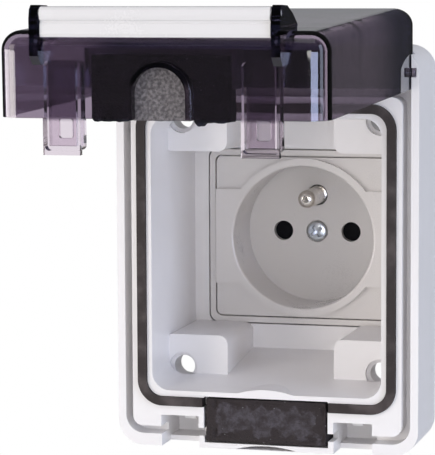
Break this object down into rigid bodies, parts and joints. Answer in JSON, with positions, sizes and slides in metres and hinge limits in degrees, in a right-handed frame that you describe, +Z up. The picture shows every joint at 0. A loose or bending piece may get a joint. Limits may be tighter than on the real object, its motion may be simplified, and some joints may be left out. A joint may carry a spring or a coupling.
{
  "type": "outdoor weatherproof socket",
  "caption": "Moulded wall box with a deep round earthed mains socket, a rim gasket and a smoked hinged lid with two latch tongues.",
  "frame": {"origin": "centre of the four wall screw holes, on the wall plane", "axes": "+Z up, +Y into the wall, +X to the right as seen from the room"},
  "size_m": [0.0784, 0.1832, 0.1146],
  "materials": {
    "pale_plastic": "satin moulded plastic",
    "cover_plastic": "satin moulded plastic",
    "smoked_plastic": "clear smoked plastic",
    "bar_plastic": "smooth moulded plastic",
    "gasket_rubber": "soft black rubber",
    "dark_foam": "closed-cell foam",
    "light_foam": "closed-cell foam",
    "nickel": "nickel-plated",
    "zinc": "zinc-plated",
    "brass": "plain brass",
    "dark_plastic": "satin moulded plastic"
  },
  "bodies": {
    "base": {"base_housing": "pale_plastic", "rim_gasket": "gasket_rubber", "cable_foam": "dark_foam", "socket_frame": "cover_plastic", "frame_screws": "zinc", "socket_cover": "cover_plastic", "centre_screw": "zinc", "earth_pin": "nickel", "earth_strap": "brass", "mechanism_housing": "dark_plastic", "mechanism_cover": "dark_plastic", "mechanism_screws": "zinc", "live_contact": "brass", "neutral_contact": "brass", "terminal_screws": "zinc", "shutter_spring": "zinc"},
    "lid": {"lid_shell": "smoked_plastic", "lid_foam": "dark_foam", "arch_foam": "light_foam"},
    "grip_bar": {"grip_bar": "bar_plastic"},
    "shutter": {"shutter": "dark_plastic"}
  },
  "joints": [
    {"name": "lid_hinge", "type": "hinge", "parent": "base", "child": "lid", "pos_m": [0, -0.0224, 0.0456], "axis": [1, 0, 0], "range_deg": [-15, 88.7]},
    {"name": "grip_bar_pivot", "type": "hinge", "parent": "lid", "child": "grip_bar", "pos_m": [0, -0.1181, 0.06213], "axis": [1, 0, 0], "range_deg": [-85, 0]},
    {"name": "shutter_slide", "type": "slide", "parent": "base", "child": "shutter", "axis": [0, 0, -1], "range_m": [0, 0.0064], "stiffness_N_per_m": 150, "springref_m": -0.003, "deforming": ["shutter_spring"]}
  ]
}
